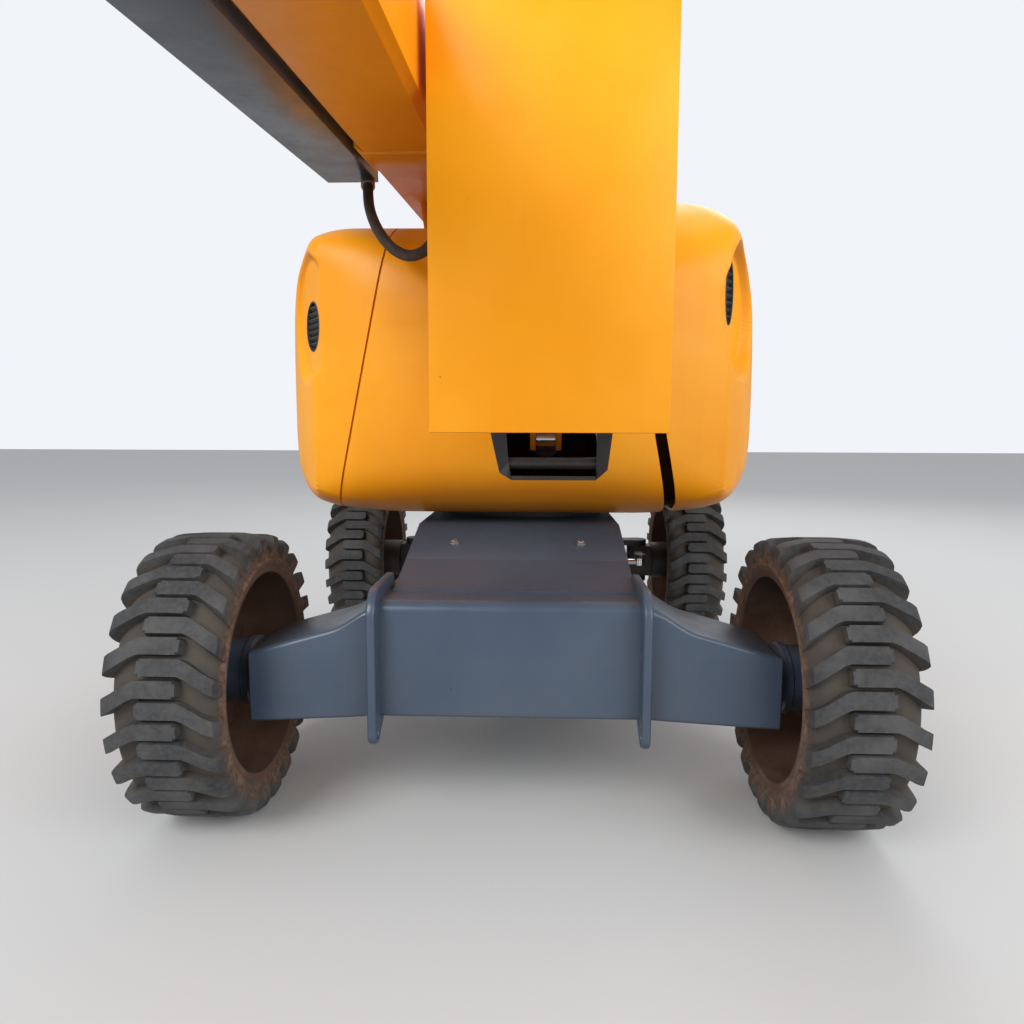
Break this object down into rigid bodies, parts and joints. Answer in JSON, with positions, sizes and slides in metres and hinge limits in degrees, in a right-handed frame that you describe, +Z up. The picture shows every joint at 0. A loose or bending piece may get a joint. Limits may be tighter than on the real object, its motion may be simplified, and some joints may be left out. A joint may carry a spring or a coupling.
{
  "type": "articulating boom lift",
  "caption": "Self-propelled articulating boom lift: two stacked riser arms, an offset telescopic boom and a jib carry a railed basket over a slewing turret on steered wheels.",
  "frame": {"origin": "on the ground, under the middle of the stowed machine's box", "axes": "+Y towards the counterweight end, away from the basket; +Z up; +X to the right when seen from the basket"},
  "size_m": [2.3, 6.9153, 2.6697],
  "materials": {
    "orange_paint": "satin paint, darker where it faces down",
    "grey_paint": "blue-grey gloss paint, dusty",
    "black_paint": "black paint, greasy and dusty",
    "rim_paint": "paint under brown mud and rust",
    "tyre": "worn rubber with dried mud",
    "chrome_rod": "hard chrome",
    "floor_steel": "worn chequer plate",
    "dark_plastic": "matte moulded",
    "pad_plastic": "machined nylon",
    "hose_rubber": "dusty rubber sleeve"
  },
  "bodies": {
    "chassis": {"chassis_frame": "grey_paint", "front_axle": "grey_paint", "rear_axle": "black_paint", "slew_ring": "black_paint"},
    "wheel_front_left": {"tyre_front_left": "tyre", "rim_front_left": "rim_paint"},
    "wheel_front_right": {"tyre_front_right": "tyre", "rim_front_right": "rim_paint"},
    "wheel_rear_left": {"tyre_rear_left": "tyre", "rim_rear_left": "rim_paint"},
    "wheel_rear_right": {"tyre_rear_right": "tyre", "rim_rear_right": "rim_paint"},
    "knuckle_left": {"knuckle_left": "black_paint"},
    "knuckle_right": {"knuckle_right": "black_paint"},
    "tie_rod": {"tie_rod": "black_paint"},
    "steer_barrel": {"steer_barrel": "black_paint"},
    "steer_rod": {"steer_rod": "chrome_rod"},
    "turret": {"turret_frame": "black_paint", "front_cover": "orange_paint", "counterweight": "orange_paint", "engine": "black_paint"},
    "hood_left": {"hood_left": "orange_paint"},
    "hood_right": {"hood_right": "orange_paint"},
    "lower_arm": {"lower_arm": "orange_paint"},
    "lower_links": {"lower_links": "orange_paint"},
    "front_knuckle": {"front_knuckle": "orange_paint"},
    "upper_arm": {"upper_arm": "orange_paint"},
    "upper_links": {"upper_links": "orange_paint"},
    "rear_knuckle": {"rear_knuckle": "orange_paint"},
    "riser_barrel": {"riser_barrel": "grey_paint"},
    "riser_rod": {"riser_rod": "chrome_rod"},
    "boom": {"boom_outer": "orange_paint", "boom_pads": "pad_plastic", "cable_tray": "grey_paint", "hose_loop": "hose_rubber", "hose_clips": "black_paint"},
    "boom_inner": {"boom_inner": "orange_paint"},
    "boom_barrel": {"boom_barrel": "grey_paint"},
    "boom_rod": {"boom_rod": "chrome_rod"},
    "nose_head": {"nose_head": "orange_paint"},
    "jib": {"jib": "orange_paint"},
    "jib_link": {"jib_link": "orange_paint"},
    "jib_barrel": {"jib_barrel": "grey_paint"},
    "jib_rod": {"jib_rod": "chrome_rod"},
    "basket_mount": {"basket_mount": "grey_paint"},
    "basket": {"basket_frame": "grey_paint", "basket_floor": "floor_steel", "control_console": "dark_plastic"},
    "gate": {"gate": "grey_paint"}
  },
  "joints": [
    {"name": "wheel_front_left_spin", "type": "hinge", "parent": "chassis", "child": "wheel_front_left", "pos_m": [-0.985, 0.78468, 0.463], "axis": [1, 0, 0], "continuous": true},
    {"name": "wheel_rear_left_spin", "type": "hinge", "parent": "knuckle_left", "child": "wheel_rear_left", "pos_m": [-0.985, 2.99468, 0.463], "axis": [1, 0, 0], "continuous": true},
    {"name": "wheel_front_right_spin", "type": "hinge", "parent": "chassis", "child": "wheel_front_right", "pos_m": [0.985, 0.78468, 0.463], "axis": [1, 0, 0], "continuous": true},
    {"name": "wheel_rear_right_spin", "type": "hinge", "parent": "knuckle_right", "child": "wheel_rear_right", "pos_m": [0.985, 2.99468, 0.463], "axis": [1, 0, 0], "continuous": true},
    {"name": "steer", "type": "hinge", "parent": "chassis", "child": "knuckle_right", "pos_m": [0.69, 2.99468, 0.463], "axis": [0, 0, 1], "range_deg": [-35, 35]},
    {"name": "steer_left", "type": "hinge", "parent": "chassis", "child": "knuckle_left", "pos_m": [-0.69, 2.99468, 0.463], "axis": [0, 0, 1], "range_deg": [-35.1, 35.1]},
    {"name": "tie_rod_swing", "type": "hinge", "parent": "knuckle_right", "child": "tie_rod", "pos_m": [0.69, 3.19468, 0.403], "axis": [0, 0, 1], "range_deg": [-35.1, 35.1]},
    {"name": "steer_barrel_swing", "type": "hinge", "parent": "chassis", "child": "steer_barrel", "pos_m": [0.06, 2.81468, 0.483], "axis": [0, 0, 1], "range_deg": [-0.3913, 0.3913]},
    {"name": "steer_rod_slide", "type": "slide", "parent": "steer_barrel", "child": "steer_rod", "axis": [0.9995, -0.0317, 0], "range_m": [-0.11518, 0.11518]},
    {"name": "slew", "type": "hinge", "parent": "chassis", "child": "turret", "pos_m": [0, 1.88468, 0.955], "axis": [0, 0, 1], "continuous": true},
    {"name": "hood_left_swing", "type": "hinge", "parent": "turret", "child": "hood_left", "pos_m": [-1.084, 2.69668, 1.4], "axis": [0, 0, -1], "range_deg": [0, 80]},
    {"name": "hood_right_swing", "type": "hinge", "parent": "turret", "child": "hood_right", "pos_m": [1.084, 2.69668, 1.4], "axis": [0, 0, 1], "range_deg": [0, 80]},
    {"name": "riser_lift", "type": "hinge", "parent": "turret", "child": "lower_arm", "pos_m": [0.105, 2.63468, 1.33], "axis": [-1, 0, 0], "range_deg": [0, 65]},
    {"name": "lower_links_swing", "type": "hinge", "parent": "turret", "child": "lower_links", "pos_m": [0.105, 2.69468, 1.482], "axis": [-1, 0, 0], "range_deg": [-0.11, 65.11]},
    {"name": "front_knuckle_level", "type": "hinge", "parent": "lower_arm", "child": "front_knuckle", "pos_m": [0.105, 0.58468, 1.48], "axis": [-1, 0, 0], "range_deg": [-65.11, 0.11]},
    {"name": "upper_arm_lift", "type": "hinge", "parent": "front_knuckle", "child": "upper_arm", "pos_m": [0.105, 0.58468, 1.985], "axis": [1, 0, 0], "range_deg": [-0.11, 65.11]},
    {"name": "upper_links_swing", "type": "hinge", "parent": "front_knuckle", "child": "upper_links", "pos_m": [0.105, 0.52468, 2.137], "axis": [1, 0, 0], "range_deg": [-0.11, 65.11]},
    {"name": "rear_knuckle_level", "type": "hinge", "parent": "upper_arm", "child": "rear_knuckle", "pos_m": [0.105, 2.63468, 2.085], "axis": [1, 0, 0], "range_deg": [-65.11, 0.11]},
    {"name": "riser_barrel_swing", "type": "hinge", "parent": "turret", "child": "riser_barrel", "pos_m": [0.105, 2.34468, 1.09], "axis": [-1, 0, 0], "range_deg": [-0.11, 67.76]},
    {"name": "riser_rod_slide", "type": "slide", "parent": "riser_barrel", "child": "riser_rod", "axis": [0, -0.9873, 0.1588], "range_m": [-0.0005, 0.40172]},
    {"name": "boom_lift", "type": "hinge", "parent": "rear_knuckle", "child": "boom", "pos_m": [-0.375, 2.98468, 2.48], "axis": [-1, 0, 0], "range_deg": [0, 75]},
    {"name": "boom_barrel_swing", "type": "hinge", "parent": "rear_knuckle", "child": "boom_barrel", "pos_m": [-0.375, 2.89468, 2.15], "axis": [-1, 0, 0], "range_deg": [-0.11, 68.89]},
    {"name": "boom_rod_slide", "type": "slide", "parent": "boom_barrel", "child": "boom_rod", "axis": [0, -0.9999, 0.0135], "range_m": [-0.0005, 0.39265]},
    {"name": "boom_extend", "type": "slide", "parent": "boom", "child": "boom_inner", "axis": [0, -0.9954, -0.0958], "range_m": [0, 2.4]},
    {"name": "nose_level", "type": "hinge", "parent": "boom_inner", "child": "nose_head", "pos_m": [-0.375, -1.25379, 2.05179], "axis": [-1, 0, 0], "range_deg": [-75.11, 0.11]},
    {"name": "jib_lift", "type": "hinge", "parent": "nose_head", "child": "jib", "pos_m": [-0.15, -1.42379, 1.90179], "axis": [-1, 0, 0], "range_deg": [-15, 115]},
    {"name": "jib_link_swing", "type": "hinge", "parent": "nose_head", "child": "jib_link", "pos_m": [-0.15, -1.42379, 2.05179], "axis": [-1, 0, 0], "range_deg": [-15.11, 115.11]},
    {"name": "mount_level", "type": "hinge", "parent": "jib", "child": "basket_mount", "pos_m": [-0.15, -2.30768, 1.01791], "axis": [-1, 0, 0], "range_deg": [-115.11, 15.11]},
    {"name": "jib_barrel_swing", "type": "hinge", "parent": "jib", "child": "jib_barrel", "pos_m": [-0.15, -1.9612, 1.36439], "axis": [-1, 0, 0], "range_deg": [-5.24, 0.78]},
    {"name": "jib_rod_slide", "type": "slide", "parent": "jib_barrel", "child": "jib_rod", "axis": [0, 0.8239, 0.5667], "range_m": [-0.0406, 0.30797]},
    {"name": "basket_rotate", "type": "hinge", "parent": "basket_mount", "child": "basket", "pos_m": [-0.15, -2.48268, 0.83791], "axis": [0, 0, 1], "range_deg": [-90, 90]},
    {"name": "gate_swing", "type": "hinge", "parent": "basket", "child": "gate", "pos_m": [-1.031, -2.76668, 0.99791], "axis": [0, 0, 1], "range_deg": [0, 85]}
  ],
  "couplings": [
    {"joint": "steer_left", "follows": "steer", "ratio": 1},
    {"joint": "tie_rod_swing", "follows": "steer", "ratio": -1},
    {"joint": "steer_barrel_swing", "follows": "steer", "ratio": -0.0079073},
    {"joint": "steer_rod_slide", "follows": "steer", "m_per_rad": 0.18773},
    {"joint": "lower_links_swing", "follows": "riser_lift", "ratio": 1},
    {"joint": "front_knuckle_level", "follows": "riser_lift", "ratio": -1},
    {"joint": "upper_arm_lift", "follows": "riser_lift", "ratio": 1},
    {"joint": "upper_links_swing", "follows": "riser_lift", "ratio": 1},
    {"joint": "rear_knuckle_level", "follows": "riser_lift", "ratio": -1},
    {"joint": "riser_barrel_swing", "follows": "riser_lift", "ratio": 1.0407},
    {"joint": "riser_rod_slide", "follows": "riser_lift", "m_per_rad": 0.35367},
    {"joint": "boom_barrel_swing", "follows": "boom_lift", "ratio": 0.91702},
    {"joint": "boom_rod_slide", "follows": "boom_lift", "m_per_rad": 0.29958},
    {"joint": "nose_level", "follows": "boom_lift", "ratio": -1},
    {"joint": "jib_link_swing", "follows": "jib_lift", "ratio": 1},
    {"joint": "mount_level", "follows": "jib_lift", "ratio": -1},
    {"joint": "jib_barrel_swing", "follows": "jib_lift", "ratio": -0.044564},
    {"joint": "jib_rod_slide", "follows": "jib_lift", "m_per_rad": 0.15319}
  ]
}
